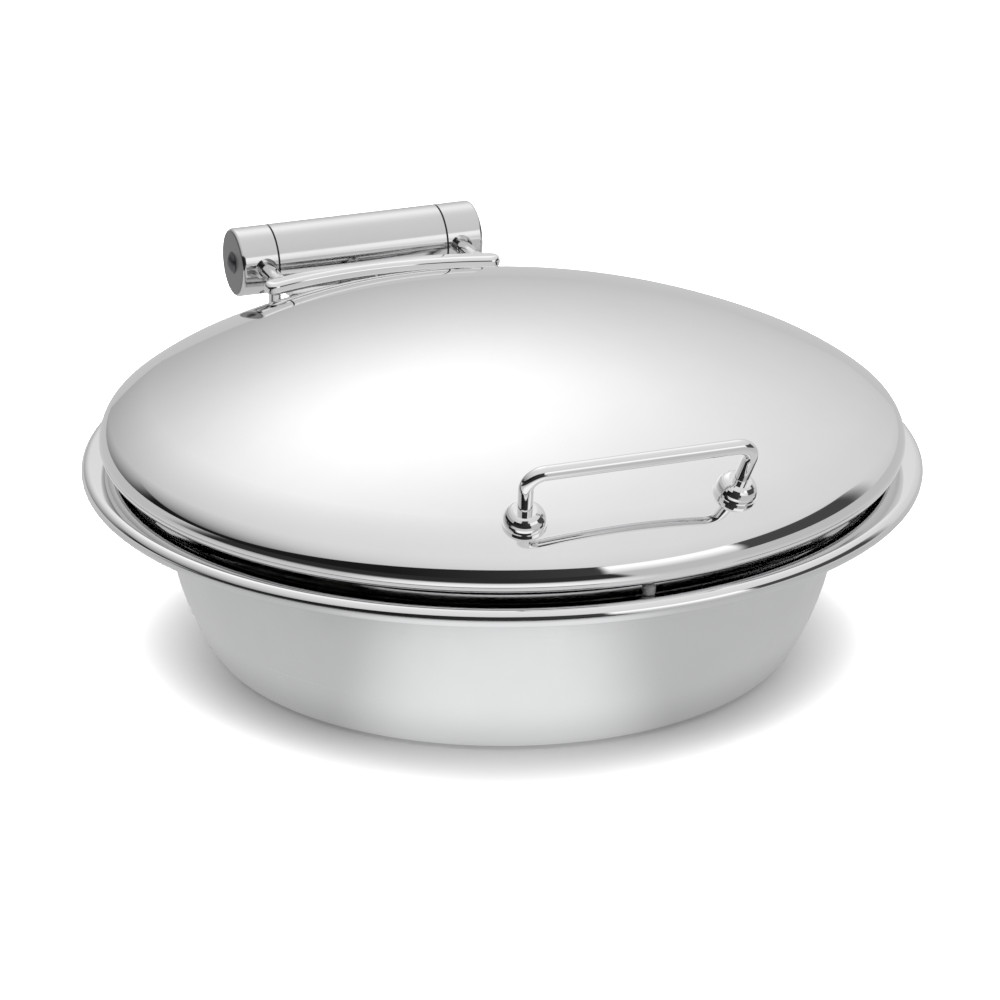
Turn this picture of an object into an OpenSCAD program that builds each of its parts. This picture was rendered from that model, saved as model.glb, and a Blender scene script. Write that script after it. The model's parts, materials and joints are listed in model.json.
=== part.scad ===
// Round buffet chafing dish with a hinged dome lid.
// A deep water pan stands on its own flat base and carries a drop-in food pan.
// The dome lid turns on a damped cylinder hinge at the back of the rim.
// Origin: centre of the underside. The lid handle is at -Y and the hinge at +Y.

/* [Water pan] */
// Outer diameter over the rolled rim
rim_d = 460; // [400:1:560]
// Height of the flat flange above the table
flange_z = 108.5; // [90:0.5:132]
// Width of the flange, from the well wall to the outside of the rim
flange_w = 45.4; // [40:0.1:55]
// Thickness of the water pan sheet
sheet = 1.5; // [1:0.1:2]
// Radius of the roll at the edge of the rim
rim_roll_r = 5; // [3.5:0.5:6]
// Inside bend between the well wall and the flange
neck_r = 3; // [2:0.5:6]
// Upright part of the well wall under the flange
upright_h = 18; // [10:1:30]
// Radius of the curved belly of the bowl, seen in section
belly_r = 153; // [145:1:200]
// Radius of the bottom corner of the bowl
corner_r = 14.3; // [8:0.1:18]

/* [Base plate] */
// Width of the ring between the base plate and the bottom corner
foot_w = 10; // [6:1:16]
// Thickness of the aluminium heat spreader
core_t = 3.8; // [3:0.1:6]
// Thickness of the steel cup that covers the heat spreader
cap_sheet = 0.8; // [0.5:0.1:1.2]
// How far the base plate stands below the pan
foot_rise = 0.6; // [0.4:0.1:1.5]

/* [Food pan] */
// Depth of the food pan below the flange
food_depth = 64; // [45:1:66]
// Thickness of the food pan sheet
food_sheet = 1; // [0.7:0.1:1.2]
// Gap between the food pan wall and the well wall
food_gap = 6; // [4:0.5:10]
// Radius of the bottom corner of the food pan
food_corner_r = 22; // [18:1:30]
// Radius of the bead at the edge of the food pan
food_bead_r = 1.8; // [1.5:0.1:2.5]
// Gap between the food pan bead and the inside of the lid roll
bead_gap = 5.4; // [4:0.1:8]

/* [Lid] */
// Distance from the outside of the rim to the outside of the lid
lid_inset = 10.1; // [6:0.1:14]
// Height of the lid, from its lower edge to the top of the dome
lid_h = 79.2; // [65:0.1:96]
// Radius of the roll at the edge of the lid
lid_roll_r = 8; // [6:0.5:10]
// Radius of the flank, where the dome begins to bend down
flank_r = 118.4; // [90:0.1:130]
// Angle at which the flank runs into the shoulder
flank_a = 51.4; // [45:0.1:55]
// Radius of the shoulder between the flank and the roll
shoulder_r = 15.7; // [12:0.1:30]
// Angle at which the shoulder runs into the roll
shoulder_a = 1.4; // [0:0.1:20]
// Thickness of the lid sheet
lid_sheet = 1.2; // [0.8:0.1:1.5]
// Gap between the flange and the lid
lid_gap = 3.4; // [3:0.1:6]
// Diameter of the rubber bumpers on the flange
bumper_d = 7; // [5:0.5:10]

/* [Handle] */
// Diameter of the handle rod
rod_d = 8; // [6:0.5:10]
// Distance between the two handle posts, on the dome
handle_w = 117; // [90:1:130]
// Height of the rod above the middle of the dome under it
handle_h = 30.5; // [26:0.5:40]
// Distance of the posts from the edge of the lid
handle_inset = 25; // [24:0.1:40]
// Radius of the bends, at the middle of the rod
bend_r = 9; // [8:0.5:14]
// Diameter of the bell-shaped boss at its foot
boss_d = 24; // [20:1:26]
// Height of the boss
boss_h = 9; // [8:0.5:14]

/* [Hinge] */
// Diameter of the hinge cylinder
hinge_d = 40; // [36:1:44]
// Length of the fixed middle tube
tube_l = 102.6; // [96:0.1:130]
// Length of each turning end cap
cap_l = 21.8; // [18:0.1:26]
// Distance from the outside of the rim to the hinge axis
hinge_back = 15; // [14:0.5:24]
// Height of the hinge axis above the flange
hinge_up = 39.7; // [36:0.1:46]
// Diameter of the steel shaft
shaft_d = 10; // [8:1:12]
// Diameter of the two arms that carry the lid
arm_d = 9.2; // [8:0.1:11]
// Distance of each arm from the middle
arm_x = 60; // [58:0.5:64]

/* [Lid bar] */
// Distance from the edge of the lid to the outer edge of the bar
bar_inset = 9.9; // [9:0.1:16]
// Width of the bar
bar_w = 12; // [10:0.5:16]
// Thickness of the bar
bar_t = 7.6; // [6:0.1:9]
// Angle from the middle of the bar to the centre of its rounded end
bar_a = 18.8; // [18:0.1:24]

/* [Bracket] */
// Thickness of the bracket plate
plate_t = 3; // [2:0.5:4]
// Width of the bracket
bracket_w = 84; // [76:1:92]
// Gap between the bracket and the rolled rim
rim_gap = 7; // [4:0.5:8]

/* [Fits] */
// Running clearance around the turning shaft
run_gap = 0.05; // [0.02:0.01:0.1]
// Clearance of a screw in a plain hole
hole_gap = 0.25; // [0.1:0.05:0.5]
// Clearance of pieces that are fixed into each other
seat_gap = 0.02; // [0.01:0.01:0.05]
// Gap left where a loose or turning piece rests on another
rest_gap = 0.2; // [0.1:0.05:0.4]

/* [Hidden] */
$fn = 96;

POLISHED = [0.83, 0.84, 0.85];
SATIN = [0.70, 0.71, 0.72];
DARK_STEEL = [0.36, 0.37, 0.38];
ALUMINIUM = [0.78, 0.78, 0.77];
BLACK = [0.10, 0.10, 0.11];
CLEAR_RUBBER = [0.86, 0.87, 0.88];

// Largest gap between a round section and its chords
smooth = 0.03;
// Step where a rounded end is joined to a bar or a rod
step = 0.01;

// Water pan outline
rim_r = rim_d / 2;
well_r = rim_r - flange_w;
belly_z = flange_z - sheet - neck_r - upright_h;
belly_x = well_r - belly_r;
corner_z = foot_rise + corner_r;
corner_x = belly_x + sqrt(pow(belly_r - corner_r, 2) - pow(belly_z - corner_z, 2));
belly_a = atan2(belly_z - corner_z, corner_x - belly_x);
base_r = corner_x - foot_w;
recess_z = cap_sheet + core_t + seat_gap;

// Food pan outline
food_r = well_r - sheet - food_gap;
food_z = flange_z + rest_gap;
food_neck_r = neck_r + sheet;
food_floor_z = food_z - food_depth;

// Lid outline: dome, flank, shoulder and roll are tangent to each other
lid_r = rim_r - lid_inset;
lid_z = flange_z + lid_gap;
apex_z = lid_z + lid_h;
roll_x = lid_r - lid_roll_r;
roll_z = lid_z + lid_roll_r;
shoulder_x = roll_x - (shoulder_r - lid_roll_r) * cos(shoulder_a);
shoulder_z = roll_z - (shoulder_r - lid_roll_r) * sin(shoulder_a);
flank_x = shoulder_x - (flank_r - shoulder_r) * cos(flank_a);
flank_z = shoulder_z - (flank_r - shoulder_r) * sin(flank_a);
drop = apex_z - flank_z;
dome_r = (pow(flank_x, 2) + pow(drop, 2) - pow(flank_r, 2)) / (2 * (drop - flank_r));
dome_z = apex_z - dome_r;
dome_a = atan2(flank_z - dome_z, flank_x);
food_edge_r = roll_x - lid_roll_r - bead_gap;

// Handle: both posts stand square to the dome, in one tilted plane
post_x = handle_w / 2;
post_y = sqrt(pow(lid_r - handle_inset, 2) - pow(post_x, 2));
post_a = asin(post_x / dome_r);
tilt_a = asin(post_y / (dome_r * cos(post_a)));
rod_z = dome_r + handle_h;
bend_z = rod_z - bend_r;
bend_x = bend_z * tan(post_a) - bend_r / cos(post_a);

// Hinge
hinge_r = hinge_d / 2;
hinge_y = rim_r + hinge_back;
hinge_z = flange_z + hinge_up;
tube_x = tube_l / 2;
tube_wall = 3;
bore_r = hinge_r - tube_wall;
washer_t = 1;
washer_recess = 1.4;
washer_gap = 0.05;
cap_x = tube_x + washer_t + 2 * washer_gap;
cap_end_x = cap_x + cap_l;
shaft_r = shaft_d / 2;
arm_r = arm_d / 2;
bush_l = 8;

// Cap: plug recess, screw head pocket, web, shaft bore, from the outside in
plug_r = 6.5;
plug_rise = 3;
plug_dome_r = 9;
plug_recess = 2;
pocket_l = 4.8;
web_l = 2.8;
cap_screw_r = 3;
cap_screw_head_r = 5;
cap_screw_head_l = 4.2;
cap_screw_l = 12;
pocket_x = cap_end_x - plug_recess - pocket_l;
shaft_x = pocket_x - web_l;
arm_seat_y = hinge_y - shaft_r - 4;
arm_pocket_r = arm_r + 2.2;
arm_pocket_y = hinge_y - hinge_r + 4;
grub_r = 2;
grub_l = 6;
grub_y = (arm_seat_y + arm_pocket_y) / 2;

// Lid bar
bar_out_r = lid_r - bar_inset;
bar_mid_r = bar_out_r - bar_w / 2;
bar_z = hinge_z + 0.8 - bar_t / 2;
bar_edge_r = bar_t * 0.42;
bar_post_r = 3.5;
arm_y = sqrt(pow(bar_out_r, 2) - pow(arm_x, 2));
arm_stud_r = 2;
arm_stud_l = 6;

// Bracket and its fasteners
web_y = rim_r + rim_gap + plate_t / 2;
plate_z = flange_z - 2 * rim_roll_r - 0.5 - plate_t;
bend_in_r = 4;
foot_y = well_r + 6;
saddle_a = 38;
saddle_top = hinge_z - sqrt(pow(hinge_r + plate_t / 2, 2) - pow(hinge_y - web_y, 2));
stud_r = 2.5;
stud_ring_r = rim_r - 24;
stud_angles = [-9, 0, 9];
stud_l = 17.5;
spacer_r = 6;
washer_r = 5.5;
nut_flats_r = 4.6;
nut_h = 4;
tube_screw_a = -75;
tube_screw_x = 34;
tube_screw_r = 2.5;
nut_block_t = 4.5;

// Damper and spring inside the tube
damper_x0 = -26;
damper_x1 = 9;
damper_r = bore_r - 0.6;
spring_x0 = 12;
spring_x1 = 27;
spring_r = 10;
spring_wire_r = 1;
spring_turns = 6;

// Screws that hold the handle
post_screw_r = 2.5;
post_screw_l = 14;
post_screw_head_r = 5;
post_screw_head_h = 3;
post_washer_r = 7;
post_washer_t = 1;
post_washer_gap = 0.4;

// ---------- shared shapes ----------

function polar(r, a) = [r * cos(a), r * sin(a)];

// Section of bent sheet, described by its two faces from one edge to the other.
// bend() is a round stretch about c, with the faces at radius ra and rb; turn() is a sharp one.
// Straight stretches need no entry: they join what stands before and after them.
function bend(c, ra, rb, a0, a1) =
  let (n = ceil(abs(a1 - a0) / (2 * acos(1 - smooth / max(ra, rb)))))
  [for (r = [ra, rb]) [for (i = [0 : n]) c + polar(r, a0 + (a1 - a0) * i / n)]];
function turn(a, b) = [[a], [b]];
function backwards(list) = [for (i = [len(list) - 1 : -1 : 0]) list[i]];

module sheet_section(path) {
  polygon(concat([for (s = path) each s[0]], backwards([for (s = path) each s[1]])));
}

// Rectangle with rounded corners, centred
module rounded_box(w, h, r) {
  square([w - 2 * r, h], center = true);
  square([w, h - 2 * r], center = true);
  for (x = [r - w / 2, w / 2 - r], y = [r - h / 2, h / 2 - r]) translate([x, y]) circle(r);
}

// Rod along X on the hinge axis
module hinge_rod(r, x0, x1) {
  translate([x0, hinge_y, hinge_z]) rotate([0, 90, 0]) cylinder(r = r, h = x1 - x0);
}

// Place children so that their Z points out of the hinge axis, at angle a from +Y
module hinge_radial(x, a) {
  translate([x, hinge_y, hinge_z]) rotate([a - 90, 0, 0]) children();
}

// Frame of the handle plane, with Z from the centre of the dome out to the rod
module handle_plane() {
  translate([0, 0, dome_z]) rotate([tilt_a, 0, 0]) children();
}

// Frame of one handle post, with Z along the post
module post_frame(side) {
  handle_plane() rotate([0, side * post_a, 0]) children();
}

module at_studs() {
  for (a = stud_angles) rotate([0, 0, a]) translate([0, stud_ring_r, 0]) children();
}

// The two faces of the lid sheet, from the top of the dome to the roll
function lid_faces() = [
  bend([0, dome_z], dome_r, dome_r - lid_sheet, 90, dome_a),
  bend([flank_x, flank_z], flank_r, flank_r - lid_sheet, dome_a, flank_a),
  bend([shoulder_x, shoulder_z], shoulder_r, shoulder_r - lid_sheet, flank_a, shoulder_a)
];

// Everything under one face of the lid, used to seat pieces on it: 0 is the outer face, 1 the inner
module under_lid(face) {
  rotate_extrude($fn = 360) polygon(concat([[0, roll_z]], [for (s = lid_faces()) each s[face]]));
}

// ---------- base ----------

module water_pan() {
  section = [
    turn([0, recess_z], [0, recess_z + sheet]),
    turn([base_r, recess_z], [base_r + sheet, recess_z + sheet]),
    turn([base_r, foot_rise], [base_r + sheet, foot_rise + sheet]),
    bend([corner_x, corner_z], corner_r, corner_r - sheet, -90, -belly_a),
    bend([belly_x, belly_z], belly_r, belly_r - sheet, -belly_a, 0),
    bend([well_r + neck_r, belly_z + upright_h], neck_r, neck_r + sheet, 180, 90),
    bend([rim_r - rim_roll_r, flange_z - rim_roll_r], rim_roll_r - sheet, rim_roll_r, 90, -140)
  ];
  color(SATIN) rotate_extrude($fn = 180) sheet_section(section);
}

module base_core() {
  color(ALUMINIUM) translate([0, 0, cap_sheet]) cylinder(r = base_r - cap_sheet - hole_gap, h = core_t);
}

module base_cap() {
  color(DARK_STEEL) difference() {
    cylinder(r = base_r - seat_gap, h = cap_sheet + core_t);
    translate([0, 0, cap_sheet]) cylinder(r = base_r - seat_gap - cap_sheet, h = core_t + 1);
  }
}

module lid_bumpers() {
  h = lid_gap - rest_gap - 0.1;
  color(CLEAR_RUBBER) for (a = [0, 120, 240]) rotate([0, 0, a - 90]) translate([roll_x, 0, flange_z]) {
    cylinder(d = bumper_d, h = h - 1);
    translate([0, 0, h - 1]) cylinder(d1 = bumper_d, d2 = bumper_d - 2, h = 1);
  }
}

// ---------- hinge, fixed side ----------

module hinge_bracket() {
  plate = [
    turn([foot_y, plate_z], [foot_y, plate_z + plate_t]),
    bend([web_y - plate_t / 2 - bend_in_r, plate_z + plate_t + bend_in_r], bend_in_r + plate_t, bend_in_r, -90, 0),
    turn([web_y + plate_t / 2, saddle_top], [web_y - plate_t / 2, saddle_top])
  ];
  saddle = [bend([hinge_y, hinge_z], hinge_r + plate_t, hinge_r + run_gap, -90 - saddle_a, -90 + saddle_a)];
  color(SATIN) difference() {
    rotate([90, 0, 90]) translate([0, 0, -bracket_w / 2]) linear_extrude(bracket_w) {
      sheet_section(plate);
      sheet_section(saddle);
    }
    at_studs() translate([0, 0, plate_z - 1]) cylinder(r = stud_r + hole_gap, h = plate_t + 2);
    for (x = [-tube_screw_x, tube_screw_x]) hinge_radial(x, tube_screw_a)
      cylinder(r = tube_screw_r + hole_gap, h = hinge_r + plate_t + 2);
  }
}

module bracket_studs() {
  color(POLISHED) at_studs() translate([0, 0, flange_z - sheet - stud_l]) cylinder(r = stud_r, h = stud_l);
}

// Ring around a stud, from height z0 to z1
module stud_ring(r, z0, z1) {
  at_studs() translate([0, 0, z0]) difference() {
    cylinder(r = r, h = z1 - z0);
    translate([0, 0, -1]) cylinder(r = stud_r + hole_gap, h = z1 - z0 + 2);
  }
}

module bracket_spacers() {
  color(POLISHED) stud_ring(spacer_r, plate_z + plate_t, flange_z - sheet);
}

module bracket_washers() {
  color(POLISHED) stud_ring(washer_r, plate_z - 1, plate_z);
}

module bracket_nuts() {
  color(POLISHED) at_studs() translate([0, 0, plate_z - 1 - nut_h]) difference() {
    cylinder(r = nut_flats_r, h = nut_h, $fn = 6);
    translate([0, 0, -1]) cylinder(r = stud_r + seat_gap, h = nut_h + 2);
  }
}

module hinge_tube() {
  color(POLISHED) difference() {
    hinge_rod(hinge_r, -tube_x, tube_x);
    hinge_rod(bore_r, -tube_x - 1, tube_x + 1);
    for (x = [-tube_screw_x, tube_screw_x]) hinge_radial(x, tube_screw_a)
      cylinder(r = tube_screw_r + hole_gap, h = hinge_r + 2);
  }
}

module tube_screws() {
  head_r = 4.5;
  head_h = 2.8;
  socket_r = 1.7;
  seat = hinge_r + plate_t;
  color(POLISHED) for (x = [-tube_screw_x, tube_screw_x]) hinge_radial(x, tube_screw_a) difference() {
    union() {
      translate([0, 0, bore_r - nut_block_t]) cylinder(r = tube_screw_r, h = seat - bore_r + nut_block_t);
      translate([0, 0, seat + 0.25]) cylinder(r = head_r, h = head_h);
      translate([0, 0, seat - 0.5]) cylinder(r = tube_screw_r, h = 1);
    }
    translate([0, 0, seat + 1.4]) cylinder(r = socket_r, h = head_h, $fn = 6);
  }
}

module tube_nuts() {
  block = 11;
  color(POLISHED) for (x = [-tube_screw_x, tube_screw_x]) difference() {
    intersection() {
      hinge_rod(bore_r - seat_gap, x - 5, x + 5);
      hinge_radial(x, tube_screw_a) translate([-5, -block / 2, bore_r - nut_block_t])
        cube([10, block, nut_block_t]);
    }
    hinge_radial(x, tube_screw_a) cylinder(r = tube_screw_r + seat_gap, h = bore_r + 1);
  }
}

module hinge_bushes() {
  color(BLACK) for (s = [-1, 1]) difference() {
    hinge_rod(bore_r - seat_gap, s * (tube_x - bush_l / 2) - bush_l / 2, s * (tube_x - bush_l / 2) + bush_l / 2);
    hinge_rod(shaft_r + run_gap, s * tube_x - bush_l - 1, s * tube_x + bush_l + 1);
  }
}

module hinge_washers() {
  mid = tube_x + washer_gap + washer_t / 2;
  color(BLACK) for (s = [-1, 1]) difference() {
    hinge_rod(hinge_r - washer_recess, s * mid - washer_t / 2, s * mid + washer_t / 2);
    hinge_rod(shaft_r + run_gap, s * mid - 2, s * mid + 2);
  }
}

module damper_body() {
  color(DARK_STEEL) difference() {
    hinge_rod(damper_r, damper_x0, damper_x1);
    hinge_rod(shaft_r + run_gap, damper_x0 - 1, damper_x1 + 1);
    hinge_rod(damper_r - 2, damper_x1 - 2, damper_x1 + 1);
  }
}

// Wire coil: rings of points along the helix, joined into one skin
module torsion_spring() {
  sides = 6;
  per_turn = 18;
  steps = spring_turns * per_turn;
  pitch = (spring_x1 - spring_x0) / spring_turns;
  points = [for (i = [0 : steps]) let (a = i * 360 / per_turn) for (k = [0 : sides - 1])
    let (p = polar(spring_wire_r, k * 360 / sides))
    [(spring_r + p[0]) * cos(a), (spring_r + p[0]) * sin(a), pitch * i / per_turn + p[1]]];
  skin = [for (i = [0 : steps - 1]) for (k = [0 : sides - 1]) let (n = (k + 1) % sides)
    [i * sides + k, (i + 1) * sides + k, (i + 1) * sides + n, i * sides + n]];
  start = [[for (k = [0 : sides - 1]) k]];
  finish = [[for (k = [0 : sides - 1]) steps * sides + sides - 1 - k]];
  color(DARK_STEEL) translate([spring_x0, hinge_y, hinge_z]) rotate([0, 90, 0])
    polyhedron(points, concat(start, skin, finish));
}

// ---------- food pan ----------

module food_pan() {
  neck = [food_r - food_sheet + food_neck_r, food_z + food_sheet - food_neck_r];
  section = [
    turn([0, food_floor_z], [0, food_floor_z + food_sheet]),
    bend([food_r - food_corner_r, food_floor_z + food_corner_r],
      food_corner_r, food_corner_r - food_sheet, -90, 0),
    bend(neck, food_neck_r - food_sheet, food_neck_r, 180, 90),
    bend([food_edge_r - food_bead_r, food_z + food_bead_r], food_bead_r, food_bead_r - food_sheet, -90, 150)
  ];
  color(SATIN) rotate_extrude($fn = 180) sheet_section(section);
}

// ---------- lid ----------

module lid_dome() {
  roll = bend([roll_x, roll_z], lid_roll_r, lid_roll_r - lid_sheet, shoulder_a, -150);
  color(POLISHED) difference() {
    rotate_extrude($fn = 180) sheet_section(concat(lid_faces(), [roll]));
    for (s = [-1, 1]) post_frame(s) translate([0, 0, dome_r - 6])
      cylinder(r = post_screw_r + hole_gap, h = 12);
  }
}

module lid_handle() {
  rod_r = rod_d / 2;
  lap = 0.1;
  post_top = bend_x * sin(post_a) + bend_z * cos(post_a) + lap;
  color(POLISHED) difference() {
    union() {
      handle_plane() {
        translate([-bend_x - lap, 0, rod_z]) rotate([0, 90, 0]) cylinder(r = rod_r, h = 2 * (bend_x + lap));
        for (s = [0, 1]) mirror([s, 0, 0]) translate([bend_x, 0, bend_z]) rotate([90, 0, 0])
          rotate([0, 0, -post_a]) rotate_extrude(angle = 90 + post_a) translate([bend_r, 0]) circle(rod_r - step);
      }
      for (s = [-1, 1]) post_frame(s) translate([0, 0, dome_r]) cylinder(r = rod_r, h = post_top - dome_r);
    }
    for (s = [-1, 1]) post_frame(s) translate([0, 0, dome_r - 1])
      cylinder(r = post_screw_r + seat_gap, h = post_screw_l);
  }
}

// Round boss with a thin lip at the foot and a full flank up to the rod
module handle_bosses() {
  lip = 1.6;
  foot_r = boss_d / 2;
  flank = boss_h - lip + 0.6;
  centre = [foot_r - 0.8 - flank, lip + 1];
  side = bend(centre, flank, flank, 0, asin((boss_h - lip) / flank))[0];
  color(POLISHED) for (s = [-1, 1]) difference() {
    post_frame(s) translate([0, 0, dome_r - 1]) rotate_extrude() difference() {
      polygon(concat([[0, 0], [foot_r, 0], [foot_r, lip + 1]], side, [[0, boss_h + 1]]));
      translate([rod_d / 2 + seat_gap - 10, -1]) square([10, boss_h + 3]);
    }
    under_lid(0);
  }
}

module handle_screws() {
  seat = dome_r - lid_sheet - post_washer_gap - post_washer_t;
  socket_r = 1.8;
  color(POLISHED) for (s = [-1, 1]) post_frame(s) difference() {
    union() {
      translate([0, 0, seat]) cylinder(r = post_screw_r, h = dome_r - 1.5 + post_screw_l - seat);
      translate([0, 0, seat - post_screw_head_h]) cylinder(r = post_screw_head_r, h = post_screw_head_h);
    }
    translate([0, 0, seat - post_screw_head_h - 1]) cylinder(r = socket_r, h = 2.6, $fn = 6);
  }
}

// Washers dished to the inside of the dome
module handle_washers() {
  top = dome_r - lid_sheet - post_washer_gap;
  color(POLISHED) for (s = [-1, 1]) intersection() {
    translate([0, 0, -seat_gap]) under_lid(1);
    post_frame(s) translate([0, 0, top - post_washer_t]) difference() {
      cylinder(r = post_washer_r, h = post_washer_t + post_washer_gap);
      translate([0, 0, -1]) cylinder(r = post_screw_r + hole_gap, h = post_washer_t + 2);
    }
  }
}

// Curved bar behind the dome, with rounded edges and ends
module lid_bar() {
  mid_z = bar_z + bar_t / 2;
  color(POLISHED) difference() {
    union() {
      translate([0, 0, mid_z]) rotate([0, 0, 90 - bar_a]) rotate_extrude(angle = 2 * bar_a, $fn = 180)
        translate([bar_mid_r, 0]) rounded_box(bar_w, bar_t, bar_edge_r);
      for (s = [-1, 1]) rotate([0, 0, s * bar_a]) translate([0, bar_mid_r, mid_z])
        rotate_extrude() intersection() {
          rounded_box(bar_w - 2 * step, bar_t - 2 * step, bar_edge_r);
          translate([0, -bar_t]) square([bar_w, 2 * bar_t]);
        }
    }
    for (s = [-1, 1]) translate([s * arm_x, arm_y + 2, hinge_z]) rotate([90, 0, 0])
      cylinder(r = arm_stud_r + seat_gap, h = arm_stud_l + 3);
  }
}

module bar_posts() {
  color(POLISHED) difference() {
    for (a = [-bar_a, 0, bar_a]) rotate([0, 0, a]) translate([0, bar_mid_r, bar_z - 14])
      cylinder(r = bar_post_r, h = 14);
    under_lid(0);
  }
}

// ---------- hinge, turning side ----------

module hinge_arm(side) {
  color(POLISHED) {
    difference() {
      translate([side * arm_x, arm_seat_y, hinge_z]) rotate([90, 0, 0]) cylinder(r = arm_r, h = arm_seat_y - arm_y + 9);
      translate([0, 0, hinge_z - 2 * arm_r]) cylinder(r = bar_out_r + seat_gap, h = 4 * arm_r, $fn = 180);
    }
    translate([side * arm_x, arm_y + 1.5, hinge_z]) rotate([90, 0, 0]) cylinder(r = arm_stud_r, h = arm_stud_l + 1.5);
  }
}

module hinge_arm_left() {
  hinge_arm(-1);
}

module hinge_arm_right() {
  hinge_arm(1);
}

module hinge_cap(side) {
  edge_r = 2.4;
  color(POLISHED) difference() {
    translate([side * cap_x, hinge_y, hinge_z]) rotate([0, side * 90, 0]) rotate_extrude() difference() {
      union() {
        square([hinge_r, cap_l - edge_r]);
        square([hinge_r - edge_r, cap_l]);
        translate([hinge_r - edge_r, cap_l - edge_r]) circle(edge_r);
      }
      translate([-1, -1]) square([shaft_r + seat_gap + 1, shaft_x - cap_x + 1.1]);
      translate([-1, -1]) square([cap_screw_r + hole_gap + 1, cap_l + 2]);
      translate([-1, pocket_x - cap_x]) square([cap_screw_head_r + 1.8, cap_l]);
      translate([-1, cap_l - plug_recess]) square([plug_r + seat_gap + 1, cap_l]);
    }
    translate([side * arm_x, arm_seat_y + seat_gap, hinge_z]) rotate([90, 0, 0])
      cylinder(r = arm_r + seat_gap, h = hinge_r);
    translate([side * arm_x, arm_pocket_y, hinge_z]) rotate([90, 0, 0]) cylinder(r = arm_pocket_r, h = hinge_r);
    translate([side * arm_x, grub_y, hinge_z - hinge_r]) cylinder(r = grub_r + seat_gap, h = hinge_r);
  }
}

module hinge_cap_left() {
  hinge_cap(-1);
}

module hinge_cap_right() {
  hinge_cap(1);
}

module hinge_shaft() {
  color(POLISHED) difference() {
    hinge_rod(shaft_r, -shaft_x, shaft_x);
    for (s = [-1, 1]) hinge_rod(cap_screw_r + seat_gap, s * (shaft_x - 5) - 7, s * (shaft_x - 5) + 7);
  }
}

module cap_screws() {
  socket_r = 2.6;
  color(DARK_STEEL) for (s = [-1, 1]) translate([s * pocket_x, hinge_y, hinge_z]) rotate([0, s * 90, 0]) difference() {
    union() {
      translate([0, 0, -cap_screw_l]) cylinder(r = cap_screw_r, h = cap_screw_l + 1);
      translate([0, 0, 0.05]) cylinder(r = cap_screw_head_r, h = cap_screw_head_l);
    }
    translate([0, 0, cap_screw_head_l - 2.4]) cylinder(r = socket_r, h = 3, $fn = 6);
  }
}

// Domed buttons that close the ends of the caps
module end_plugs() {
  top = plug_recess + plug_rise;
  color(DARK_STEEL) for (s = [-1, 1]) translate([s * (cap_end_x - plug_recess), hinge_y, hinge_z])
    rotate([0, s * 90, 0]) intersection() {
      cylinder(r = plug_r, h = top);
      translate([0, 0, top - plug_dome_r]) sphere(plug_dome_r);
    }
}

module arm_grub_screws() {
  top = hinge_z - arm_r - seat_gap;
  color(BLACK) for (s = [-1, 1]) translate([s * arm_x, grub_y, top - grub_l]) difference() {
    cylinder(r = grub_r, h = grub_l);
    translate([0, 0, -1]) cylinder(r = 1.1, h = 3, $fn = 6);
  }
}

water_pan();
base_core();
base_cap();
lid_bumpers();
hinge_bracket();
bracket_studs();
bracket_spacers();
bracket_washers();
bracket_nuts();
hinge_tube();
tube_screws();
tube_nuts();
hinge_bushes();
hinge_washers();
damper_body();
torsion_spring();
food_pan();
lid_dome();
lid_handle();
handle_bosses();
handle_screws();
handle_washers();
lid_bar();
bar_posts();
hinge_arm_left();
hinge_arm_right();
hinge_cap_left();
hinge_cap_right();
hinge_shaft();
cap_screws();
end_plugs();
arm_grub_screws();
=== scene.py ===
"""Looks for the round chafing dish: camera, studio light, materials and smooth shells."""
import math

import bpy
from mathutils import Matrix, Vector
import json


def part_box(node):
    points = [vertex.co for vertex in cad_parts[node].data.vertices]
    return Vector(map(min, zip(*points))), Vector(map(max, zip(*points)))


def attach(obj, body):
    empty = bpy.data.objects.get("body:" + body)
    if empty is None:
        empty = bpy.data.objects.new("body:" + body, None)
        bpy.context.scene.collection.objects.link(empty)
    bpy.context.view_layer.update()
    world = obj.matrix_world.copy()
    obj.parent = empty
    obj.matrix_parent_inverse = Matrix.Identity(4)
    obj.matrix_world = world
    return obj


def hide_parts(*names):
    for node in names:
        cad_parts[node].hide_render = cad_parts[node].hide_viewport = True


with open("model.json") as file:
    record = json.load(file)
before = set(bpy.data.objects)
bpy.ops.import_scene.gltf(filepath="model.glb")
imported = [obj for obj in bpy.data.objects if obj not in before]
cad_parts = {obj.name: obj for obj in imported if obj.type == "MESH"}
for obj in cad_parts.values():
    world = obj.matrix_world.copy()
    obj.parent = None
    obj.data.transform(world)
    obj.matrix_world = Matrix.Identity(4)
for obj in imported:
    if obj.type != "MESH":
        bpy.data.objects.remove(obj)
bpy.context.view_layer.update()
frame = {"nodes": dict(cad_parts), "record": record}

MM = 0.001


# ---------------------------------------------------------------- places taken from the frame
def low(node, axis):
    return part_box(node)[0][axis]


def high(node, axis):
    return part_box(node)[1][axis]


RIM_R = high("water_pan", 0)
FLANGE_Z = high("water_pan", 2)
LID_R = high("lid_dome", 0)
LID_Z = low("lid_dome", 2)
APEX_Z = high("lid_dome", 2)
FOOD_R = high("food_pan", 0)
FOOD_Z = low("food_pan", 2)
CAP_END_X = high("hinge_cap_right", 0)

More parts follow.
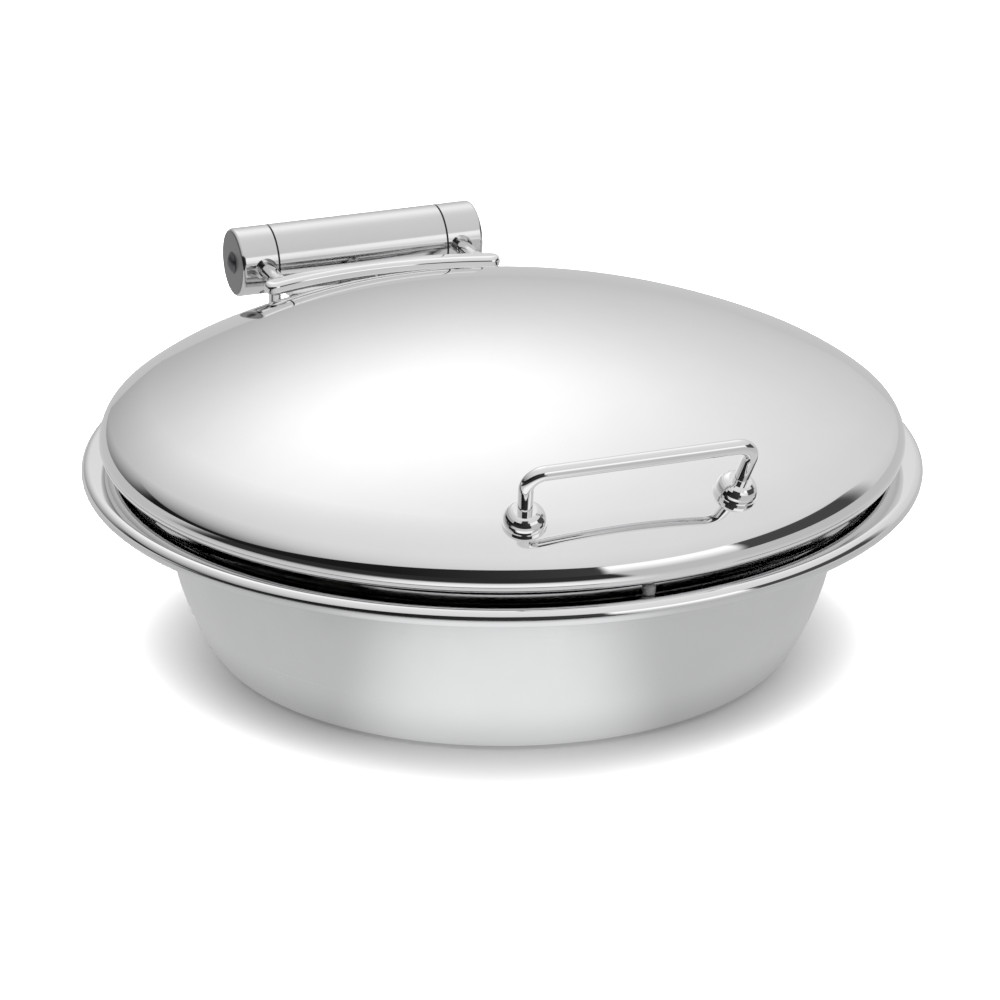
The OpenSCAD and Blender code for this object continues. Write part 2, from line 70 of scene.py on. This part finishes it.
# Sheet sections, the same sizes as the design's
SHEET = 1.5 * MM
FLANGE_W = 45.4 * MM
RIM_ROLL_R = 5 * MM
NECK_R = 3 * MM
UPRIGHT_H = 18 * MM
BELLY_R = 153 * MM
CORNER_R = 14.3 * MM
FOOT_W = 10 * MM
FOOT_RISE = 0.6 * MM
RECESS_Z = 4.62 * MM
FOOD_SHEET = 1.0 * MM
FOOD_GAP = 6 * MM
FOOD_CORNER_R = 22 * MM
FOOD_BEAD_R = 1.8 * MM
FOOD_LIFT = 0.2 * MM
LID_SHEET = 1.2 * MM
LID_ROLL_R = 8 * MM
FLANK_R = 118.4 * MM
FLANK_A = 51.4
SHOULDER_R = 15.7 * MM
SHOULDER_A = 1.4

WELL_R = RIM_R - FLANGE_W
NECK_Z = FLANGE_Z - SHEET - NECK_R

# Studio levels, as the steel reflects them. A lobe is right, front, up, amount and tightness. The table
# goes dark beyond EDGE_TO, out to EDGE_SIDE. LAMP_LEFT and LAMP_RIGHT are angles, LAMP_TOP is a height.
SKY = 0.933
BACK_GLOW = (-0.385, -1.973, 2.242, 0.54, 13.3)
LEFT_SHADE = (-0.588, -0.052, -0.671, -1.887, 1.72)
# TABLE_NEAR is the reflected table's painted light straight in front
TABLE_NEAR = 1.09
TABLE_SIDE = 0.68
TABLE_FAR = 0.6
ROOM_DARK = 0.03
EDGE_FROM, EDGE_TO = 0.56, 0.68
EDGE_SIDE = (0.46, 0.52)
ROOM_FADE = (-0.6, -0.35)
LAMP_LEFT = (0.46, 0.52)
LAMP_RIGHT = (1.16, 1.24)
LAMP_TOP = (0.44, 0.48)
LAMP_LEVELS = (0.5, 1.25)
LIGHT_OUT = 1.25
LIGHT_UP = 2.17
LIGHT_SIZE = (1.5, 1.0)
LIGHT_POWER = 44

# Steel as it comes from the buff
BRIGHT = (0.83, 0.83, 0.835)
FLOOR_PALE = (0.93, 0.93, 0.93)
SHARP_ANGLE = 32

# ---------------------------------------------------------------- camera
VIEW_AZIMUTH = math.radians(-20.8)
VIEW_ELEVATION = math.radians(21.4)
VIEW_DISTANCE = 3.0
VIEW_LENS = 194.7
AIM_RIGHT = -1.2 * MM
AIM_UP = 74.4 * MM
TOWARD_CAMERA = Vector((math.sin(VIEW_AZIMUTH), -math.cos(VIEW_AZIMUTH), 0))
TO_RIGHT = Vector((math.cos(VIEW_AZIMUTH), math.sin(VIEW_AZIMUTH), 0))


def make_camera():
    back = TOWARD_CAMERA * math.cos(VIEW_ELEVATION) + Vector((0, 0, math.sin(VIEW_ELEVATION)))
    up = back.cross(TO_RIGHT)
    data = bpy.data.cameras.new("camera")
    data.lens = VIEW_LENS
    data.clip_end = 60
    camera = bpy.data.objects.new("camera", data)
    turn = Matrix((TO_RIGHT, up, back)).transposed().to_4x4()
    place = back * VIEW_DISTANCE + TO_RIGHT * AIM_RIGHT + up * AIM_UP
    camera.matrix_world = Matrix.Translation(place) @ turn
    bpy.context.scene.collection.objects.link(camera)
    bpy.context.scene.camera = camera


# ---------------------------------------------------------------- node helpers
class Nodes:
    """A short way to write a node tree: nodes are made by type, and inputs set by name."""

    def __init__(self, tree):
        self.tree = tree
        tree.nodes.clear()

    def add(self, kind, settings=None, **inputs):
        node = self.tree.nodes.new(kind)
        for name, value in (settings or {}).items():
            setattr(node, name, value)
        for name, value in inputs.items():
            self.put(node, name.replace("_", " "), value)
        return node

    def put(self, node, name, value):
        socket = node.inputs[int(name)] if name.isdigit() else node.inputs[name]
        if isinstance(value, bpy.types.NodeSocket):
            self.tree.links.new(value, socket)
        else:
            socket.default_value = value

    def math(self, operation, a, b=0.0, clamp=False):
        node = self.add("ShaderNodeMath", {"operation": operation, "use_clamp": clamp})
        self.put(node, "0", a)
        self.put(node, "1", b)
        return node.outputs[0]

    def spread(self, value, low_in, high_in, low_out, high_out, smooth=False):
        kind = "SMOOTHSTEP" if smooth else "LINEAR"
        node = self.add("ShaderNodeMapRange", {"interpolation_type": kind})
        for name, v in (("Value", value), ("From Min", low_in), ("From Max", high_in),
                        ("To Min", low_out), ("To Max", high_out)):
            self.put(node, name, v)
        return node.outputs[0]

    def noise(self, vector, scale, detail=3.0, roughness=0.5):
        node = self.add("ShaderNodeTexNoise", Vector=vector, Scale=scale, Detail=detail, Roughness=roughness)
        return node.outputs["Fac"]

    def mix(self, factor, a, b):
        node = self.add("ShaderNodeMix", {"data_type": "RGBA"})
        self.tree.links.new(factor, node.inputs[0])
        for index, colour in ((6, a), (7, b)):
            if isinstance(colour, bpy.types.NodeSocket):
                self.tree.links.new(colour, node.inputs[index])
            else:
                node.inputs[index].default_value = (*colour, 1)
        return node.outputs[2]


def lathe_coordinates(n):
    """The object point, and its distance from the upright axis with its height, for turned marks."""
    point = n.add("ShaderNodeTexCoord").outputs["Object"]
    parts = n.add("ShaderNodeSeparateXYZ", Vector=point)
    flat = n.add("ShaderNodeCombineXYZ", X=parts.outputs[0], Y=parts.outputs[1])
    radius = n.add("ShaderNodeVectorMath", {"operation": "LENGTH"})
    n.tree.links.new(flat.outputs[0], radius.inputs[0])
    return point, n.add("ShaderNodeCombineXYZ", X=radius.outputs["Value"], Y=parts.outputs[2]).outputs[0]


def metal(name, colour, rough, grain="turned", grain_scale=900.0, grain_depth=0.02, wave=0.0, dirt=0.05,
          marks=1.0, polish_z=None, painted_shade_end=None):
    """Steel with a grain, slow waves in the sheet, fine scratches and faint smears.

    Above polish_z the sheet is buffed like a mirror. Past the given end x, out along the hinge, the colour is
    painted dark: painted shade standing in for the dark room that the end faces reflect.
    """
    material = bpy.data.materials.new(name)
    material.use_nodes = True
    n = Nodes(material.node_tree)
    out = n.add("ShaderNodeOutputMaterial")
    shader = n.add("ShaderNodeBsdfPrincipled", Metallic=1.0)
    n.tree.links.new(shader.outputs[0], out.inputs["Surface"])
    point, turned = lathe_coordinates(n)
    grain_at = turned if grain == "turned" else point
    lines = n.noise(grain_at, grain_scale, 4.0, 0.6)
    smear = n.noise(point, 9.0, 5.0, 0.62)
    fine = n.noise(point, 60.0, 4.0, 0.55)
    scratch_at = n.add("ShaderNodeMapping", Vector=point, Rotation=(0.3, 0.5, 0.9),
                       Scale=(1.0, 0.02, 1.0)).outputs[0]
    scratches = n.spread(n.noise(scratch_at, 260.0, 2.0, 0.5), 0.70, 0.76, 0.0, 1.0, True)
    spots = n.math("MULTIPLY", smear, fine)
    roughness = n.spread(spots, 0.12, 0.42, rough[0], rough[1])
    roughness = n.math("ADD", roughness, n.math("MULTIPLY", scratches, 0.06 * marks))
    roughness = n.math("ADD", roughness, n.math("MULTIPLY", n.math("SUBTRACT", lines, 0.5), rough[1] * 0.35))
    shade = n.spread(smear, 0.3, 0.75, 0.0, 1.0)
    darker = tuple(c * (1 - dirt) for c in colour)
    tint = n.mix(shade, colour, darker)
    height = n.math("MULTIPLY", lines, grain_depth)
    height = n.math("ADD", height, n.math("MULTIPLY", scratches, -grain_depth * 0.5 * marks))
    if polish_z is not None:
        upright = n.add("ShaderNodeSeparateXYZ", Vector=point).outputs[2]
        buffed = n.spread(upright, polish_z - 0.6 * MM, polish_z + 0.6 * MM, 0.0, 1.0, True)
        roughness = n.spread(buffed, 0.0, 1.0, roughness, n.spread(spots, 0.12, 0.42, 0.035, 0.075))
        height = n.math("MULTIPLY", height, n.spread(buffed, 0.0, 1.0, 1.0, 0.15))
        tint = n.mix(buffed, tint, BRIGHT)
    if painted_shade_end is not None:
        # Painted shade: the hinge's end faces are painted dark, and made rougher, in place of the dark
        # reflection they show
        out_x = n.math("ABSOLUTE", n.add("ShaderNodeSeparateXYZ", Vector=point).outputs[0])
        end = n.spread(out_x, painted_shade_end - 0.5 * MM, painted_shade_end - 0.1 * MM, 0.0, 1.0, True)
        tint = n.mix(end, tint, (0.2, 0.2, 0.205))
        roughness = n.spread(end, 0.0, 1.0, roughness, 0.28)
    n.put(shader, "Roughness", roughness)
    n.put(shader, "Base Color", tint)
    if wave:
        height = n.math("ADD", height, n.math("MULTIPLY", n.noise(point, 7.0, 1.0, 0.4), wave))
    bump = n.add("ShaderNodeBump", Height=height, Strength=1.0, Distance=MM)
    n.put(shader, "Normal", bump.outputs[0])
    return material


def moulded(name, colour, rough, grain_scale=400.0, clear=0.0):
    """Plastic or rubber with a fine moulded grain."""
    material = bpy.data.materials.new(name)
    material.use_nodes = True
    n = Nodes(material.node_tree)
    out = n.add("ShaderNodeOutputMaterial")
    shader = n.add("ShaderNodeBsdfPrincipled")
    shader.inputs["Transmission Weight"].default_value = clear
    n.tree.links.new(shader.outputs[0], out.inputs["Surface"])
    point = n.add("ShaderNodeTexCoord").outputs["Object"]
    grain = n.noise(point, grain_scale, 3.0)
    n.put(shader, "Base Color", n.mix(n.noise(point, 40.0), colour, tuple(c * 0.85 for c in colour)))
    n.put(shader, "Roughness", n.spread(grain, 0.3, 0.7, rough - 0.06, rough + 0.06))
    n.put(shader, "Normal", n.add("ShaderNodeBump", Height=grain, Strength=0.4, Distance=0.1 * MM).outputs[0])
    return material


def make_materials():
    return {
        "polished_steel": metal("polished_steel", BRIGHT, (0.025, 0.06), "turned", 700.0, 0.0008, 0.02),
        "satin_steel": metal("satin_steel", (0.72, 0.725, 0.73), (0.28, 0.35), "turned", 1500.0, 0.004,
                             marks=0.3, polish_z=NECK_Z),
        # The hinge caps' end faces get painted shade: a dark colour instead of a dark reflection
        "hinge_steel": metal("hinge_steel", (0.70, 0.70, 0.705), (0.07, 0.14), "even", 900.0, 0.002,
                             painted_shade_end=CAP_END_X),
        "pan_steel": metal("pan_steel", (0.74, 0.74, 0.745), (0.21, 0.28), "turned", 1200.0, 0.003,
                           marks=0.25),
        "base_steel": metal("base_steel", (0.5, 0.5, 0.51), (0.35, 0.5), "turned", 500.0, 0.03, 0.0, 0.2),
        "spreader_aluminium": metal("spreader_aluminium", (0.8, 0.8, 0.8), (0.3, 0.45), "even", 300.0, 0.01),
        "fastener_steel": metal("fastener_steel", (0.66, 0.66, 0.67), (0.18, 0.32), "even", 900.0, 0.006),
        "dark_steel": metal("dark_steel", (0.16, 0.16, 0.17), (0.25, 0.4), "even", 700.0, 0.01, 0.0, 0.3),
        "black_nylon": moulded("black_nylon", (0.02, 0.02, 0.021), 0.45),
        "clear_silicone": moulded("clear_silicone", (0.75, 0.76, 0.77), 0.3, 300.0, 0.5),
    }


# ---------------------------------------------------------------- mesh helpers
def polar(radius, degrees):
    a = math.radians(degrees)
    return radius * math.cos(a), radius * math.sin(a)


def bend(centre, outer, inner, start, stop, step=3.0):
    """The two faces of a round stretch of sheet, as lists of points in section."""
    count = max(2, math.ceil(abs(stop - start) / step))
    faces = []
    for radius in (outer, inner):
        angles = [start + (stop - start) * i / count for i in range(count + 1)]
        faces.append([(centre[0] + polar(radius, a)[0], centre[1] + polar(radius, a)[1]) for a in angles])
    return faces


def turn(a, b):
    return [[a], [b]]


def new_object(name, points, faces, material):
    mesh = bpy.data.meshes.new(name)
    mesh.from_pydata(points, [], faces)
    mesh.validate()
    mesh.polygons.foreach_set("use_smooth", [True] * len(mesh.polygons))
    mesh.set_sharp_from_angle(angle=math.radians(SHARP_ANGLE))
    mesh.materials.append(material)
    piece = bpy.data.objects.new(name, mesh)
    bpy.context.scene.collection.objects.link(piece)
    return piece


def lathe(name, outline, material, segments=256):
    """Turns a closed outline of (radius, height) points about the upright axis."""
    points, faces, rings = [], [], []
    for radius, height in outline:
        if radius < 1e-7:
            rings.append([len(points)] * segments)
            points.append((0.0, 0.0, height))
            continue
        rings.append(list(range(len(points), len(points) + segments)))
        for k in range(segments):
            x, y = polar(radius, 360 * k / segments)
            points.append((x, y, height))
    for i, ring in enumerate(rings):
        after = rings[(i + 1) % len(rings)]
        if ring[0] == ring[1] and after[0] == after[1]:
            continue
        for k in range(segments):
            n = (k + 1) % segments
            face = [ring[k], ring[n], after[n], after[k]]
            face = [v for j, v in enumerate(face) if v != face[j - 1]]
            faces.append(face)
    return new_object(name, points, faces, material)


def sheet_outline(path):
    outer = [point for stretch in path for point in stretch[0]]
    inner = [point for stretch in path for point in stretch[1]]
    return outer + inner[::-1]


# ---------------------------------------------------------------- shells
BELLY_Z = NECK_Z - UPRIGHT_H
BELLY_X = WELL_R - BELLY_R
CORNER_Z = FOOT_RISE + CORNER_R
CORNER_X = BELLY_X + math.sqrt((BELLY_R - CORNER_R) ** 2 - (BELLY_Z - CORNER_Z) ** 2)
BELLY_A = math.degrees(math.atan2(BELLY_Z - CORNER_Z, CORNER_X - BELLY_X))
BASE_R = CORNER_X - FOOT_W
ROLL_X = LID_R - LID_ROLL_R
ROLL_Z = LID_Z + LID_ROLL_R
SHOULDER_X = ROLL_X - (SHOULDER_R - LID_ROLL_R) * math.cos(math.radians(SHOULDER_A))
SHOULDER_Z = ROLL_Z - (SHOULDER_R - LID_ROLL_R) * math.sin(math.radians(SHOULDER_A))
FLANK_X = SHOULDER_X - (FLANK_R - SHOULDER_R) * math.cos(math.radians(FLANK_A))
FLANK_Z = SHOULDER_Z - (FLANK_R - SHOULDER_R) * math.sin(math.radians(FLANK_A))
DROP = APEX_Z - FLANK_Z
DOME_R = (FLANK_X ** 2 + DROP ** 2 - FLANK_R ** 2) / (2 * (DROP - FLANK_R))
DOME_Z = APEX_Z - DOME_R
DOME_A = math.degrees(math.atan2(FLANK_Z - DOME_Z, FLANK_X))


def water_pan(material):
    path = [
        turn((0, RECESS_Z), (0, RECESS_Z + SHEET)),
        turn((BASE_R, RECESS_Z), (BASE_R + SHEET, RECESS_Z + SHEET)),
        turn((BASE_R, FOOT_RISE), (BASE_R + SHEET, FOOT_RISE + SHEET)),
        bend((CORNER_X, CORNER_Z), CORNER_R, CORNER_R - SHEET, -90, -BELLY_A),
        bend((BELLY_X, BELLY_Z), BELLY_R, BELLY_R - SHEET, -BELLY_A, 0, 1.5),
        bend((WELL_R + NECK_R, BELLY_Z + UPRIGHT_H), NECK_R, NECK_R + SHEET, 180, 90, 8),
        bend((RIM_R - RIM_ROLL_R, FLANGE_Z - RIM_ROLL_R), RIM_ROLL_R - SHEET, RIM_ROLL_R, 90, -140, 6),
    ]
    piece = lathe("bowl_shell", sheet_outline(path), material)
    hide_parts("water_pan")
    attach(piece, "base")
    return piece


def food_pan(material):
    wall = WELL_R - SHEET - FOOD_GAP
    base_z = FLANGE_Z + FOOD_LIFT
    neck_r = NECK_R + SHEET
    path = [
        turn((0, FOOD_Z), (0, FOOD_Z + FOOD_SHEET)),
        bend((wall - FOOD_CORNER_R, FOOD_Z + FOOD_CORNER_R), FOOD_CORNER_R, FOOD_CORNER_R - FOOD_SHEET,
             -90, 0),
        bend((wall - FOOD_SHEET + neck_r, base_z + FOOD_SHEET - neck_r), neck_r - FOOD_SHEET, neck_r,
             180, 90, 8),
        bend((FOOD_R - FOOD_BEAD_R, base_z + FOOD_BEAD_R), FOOD_BEAD_R, FOOD_BEAD_R - FOOD_SHEET,
             -90, 150, 12),
    ]
    piece = lathe("food_pan_shell", sheet_outline(path), material)
    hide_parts("food_pan")
    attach(piece, "pan")
    return piece


def lid_dome(material):
    path = [
        bend((0, DOME_Z), DOME_R, DOME_R - LID_SHEET, 90, DOME_A, 0.4),
        bend((FLANK_X, FLANK_Z), FLANK_R, FLANK_R - LID_SHEET, DOME_A, FLANK_A, 1),
        bend((SHOULDER_X, SHOULDER_Z), SHOULDER_R, SHOULDER_R - LID_SHEET, FLANK_A, SHOULDER_A, 2.5),
        bend((ROLL_X, ROLL_Z), LID_ROLL_R, LID_ROLL_R - LID_SHEET, SHOULDER_A, -150, 5),
    ]
    piece = lathe("lid_shell", sheet_outline(path), material, 512)
    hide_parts("lid_dome")
    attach(piece, "lid")
    return piece


# ---------------------------------------------------------------- studio
def disc(name, radius, height, material, count=96):
    points = [(*polar(radius, 360 * k / count), height) for k in range(count)]
    return new_object(name, points, [list(range(count))], material)


def make_floor():
    """The pale floor that the camera sees, and under it the table as the metal reflects it: a glowing card
    with painted light straight in front and a painted shadow close round the base.
    """
    material = bpy.data.materials.new("floor")
    material.use_nodes = True
    n = Nodes(material.node_tree)
    out = n.add("ShaderNodeOutputMaterial")
    shader = n.add("ShaderNodeBsdfPrincipled", Roughness=0.9)
    shader.inputs["Base Color"].default_value = (*FLOOR_PALE, 1)
    shader.inputs["Specular IOR Level"].default_value = 0.2
    n.tree.links.new(shader.outputs[0], out.inputs["Surface"])
    floor = disc("floor", 14.0, 0.0, material)
    floor.visible_glossy = False

    material = bpy.data.materials.new("table_glow")
    material.use_nodes = True
    n = Nodes(material.node_tree)
    out = n.add("ShaderNodeOutputMaterial")
    place = n.add("ShaderNodeTexCoord").outputs["Object"]
    radius = n.add("ShaderNodeVectorMath", {"operation": "LENGTH"})
    n.tree.links.new(place, radius.inputs[0])
    radius = radius.outputs["Value"]
    front = n.add("ShaderNodeVectorMath", {"operation": "DOT_PRODUCT"})
    n.tree.links.new(place, front.inputs[0])
    front.inputs[1].default_value = TOWARD_CAMERA
    front = n.math("DIVIDE", front.outputs["Value"], radius)
    side = n.add("ShaderNodeVectorMath", {"operation": "DOT_PRODUCT"})
    n.tree.links.new(place, side.inputs[0])
    side.inputs[1].default_value = TO_RIGHT
    side = n.math("DIVIDE", side.outputs["Value"], radius)
    # Painted light and shadow: the glow is brightest straight in front and dims close round the base, where
    # the contact shadow falls
    near = n.spread(front, 0.80, 0.99, TABLE_SIDE, TABLE_NEAR, True)
    near = n.math("MULTIPLY", near, n.spread(radius, 0.145, 0.19, 0.6, 1.0, True))
    far = n.spread(radius, 0.36, 0.54, 0.0, 1.0, True)
    near = n.math("MULTIPLY", near, n.math("SUBTRACT", 1.0, far))
    level = n.math("ADD", near, n.math("MULTIPLY", far, TABLE_FAR))
    edge = n.spread(radius, EDGE_FROM, EDGE_TO, 0.0, 1.0, True)
    edge = n.math("MULTIPLY", edge, n.spread(front, -0.1, 0.25, 0.0, 1.0, True))
    edge = n.math("MULTIPLY", edge, n.spread(side, *EDGE_SIDE, 1.0, 0.0, True))
    level = n.spread(edge, 0.0, 1.0, level, ROOM_DARK)
    glow = n.add("ShaderNodeEmission", Strength=level)
    n.tree.links.new(glow.outputs[0], out.inputs["Surface"])
    table = disc("table_glow", 14.0, -MM, material)
    for flag in ("camera", "diffuse", "shadow", "transmission", "volume_scatter"):
        setattr(table, "visible_" + flag, False)


def make_world():
    """Soft light from above and behind, a dark room in front, and a tall soft lamp at the front right."""
    world = bpy.data.worlds.new("studio")
    bpy.context.scene.world = world
    world.use_nodes = True
    n = Nodes(world.node_tree)
    out = n.add("ShaderNodeOutputWorld")
    direction = n.add("ShaderNodeTexCoord").outputs["Generated"]

    def along(vector):
        node = n.add("ShaderNodeVectorMath", {"operation": "DOT_PRODUCT"})
        n.tree.links.new(direction, node.inputs[0])
        node.inputs[1].default_value = vector
        return node.outputs["Value"]

    def lobe(right, front, up, amount, tight):
        centre = (TO_RIGHT * right + TOWARD_CAMERA * front + Vector((0, 0, up))).normalized()
        fall = n.math("EXPONENT", n.math("MULTIPLY", n.math("SUBTRACT", along(centre), 1.0), tight))
        return n.math("MULTIPLY", fall, amount)

    right, front, up = along(TO_RIGHT), along(TOWARD_CAMERA), along(Vector((0, 0, 1)))
    level = n.math("ADD", lobe(*BACK_GLOW), lobe(*LEFT_SHADE))
    for axis, amount in ((right, -0.105), (front, -0.014), (up, 0.027)):
        level = n.math("ADD", level, n.math("MULTIPLY", axis, amount))
    level = n.math("ADD", level, SKY)

    # The dark room is tallest straight in front and thins out to both sides
    top = n.math("ADD", n.math("MULTIPLY", n.math("MULTIPLY", front, front), 0.6), 0.12)
    top = n.math("MAXIMUM", top, n.spread(right, 0.55, 0.8, 0.0, 0.44, True))
    dark = n.spread(n.math("SUBTRACT", top, up), -0.015, 0.02, 0.0, 1.0, True)
    dark = n.math("MULTIPLY", dark, n.spread(front, *ROOM_FADE, 0.0, 1.0, True))
    room = n.spread(right, -0.5, 0.9, 0.012, 0.07)
    level = n.spread(dark, 0.0, 1.0, level, room)

    # The soft lamp: brightest near its top
    angle = n.math("ARCTAN2", right, front)
    window = n.math("MULTIPLY", n.spread(angle, *LAMP_LEFT, 0.0, 1.0, True),
                    n.spread(angle, *LAMP_RIGHT, 1.0, 0.0, True))
    window = n.math("MULTIPLY", window, n.spread(up, *LAMP_TOP, 1.0, 0.0, True))
    shine = n.spread(up, -0.05, 0.32, *LAMP_LEVELS)
    level = n.spread(window, 0.0, 1.0, level, shine)

    background = n.add("ShaderNodeBackground", Strength=level)
    background.inputs[0].default_value = (1, 1, 1, 1)
    n.tree.links.new(background.outputs[0], out.inputs["Surface"])


def area_light(name, place, aim, size, power):
    """A soft lamp that lights the floor and the plastics, and leaves no patch in the steel."""
    data = bpy.data.lights.new(name, "AREA")
    data.shape = "RECTANGLE"
    data.size, data.size_y = size
    data.energy = power
    lamp = bpy.data.objects.new(name, data)
    lamp.location = place
    lamp.rotation_euler = (Vector(aim) - Vector(place)).to_track_quat("-Z", "Y").to_euler()
    lamp.visible_glossy = False
    bpy.context.scene.collection.objects.link(lamp)
    return lamp


def make_lights():
    def at(front, right, up):
        return TOWARD_CAMERA * front + TO_RIGHT * right + Vector((0, 0, up))

    for name, front, right in (("front", 1, 0), ("right", 0, 1), ("back", -1, 0), ("left", 0, -1)):
        area_light("soft_" + name, at(LIGHT_OUT * front, LIGHT_OUT * right, LIGHT_UP), (0, 0, 0), LIGHT_SIZE,
                   LIGHT_POWER)


# ---------------------------------------------------------------- build
def dress_nodes(materials):
    """Every CAD node that stays visible takes the material of its slot; the hinge cylinder is duller."""
    slots = {part["node"]: part["material_slot"] for part in frame["record"]["subparts"]}
    dull = ("hinge_tube", "hinge_cap_left", "hinge_cap_right")
    for name, node in frame["nodes"].items():
        node.data.materials.clear()
        node.data.materials.append(materials["hinge_steel" if name in dull else slots[name]])


make_camera()
bpy.context.scene.view_settings.view_transform = "Standard"
MATERIALS = make_materials()
dress_nodes(MATERIALS)
make_floor()
make_world()
make_lights()
water_pan(MATERIALS["satin_steel"])
food_pan(MATERIALS["pan_steel"])
lid_dome(MATERIALS["polished_steel"])
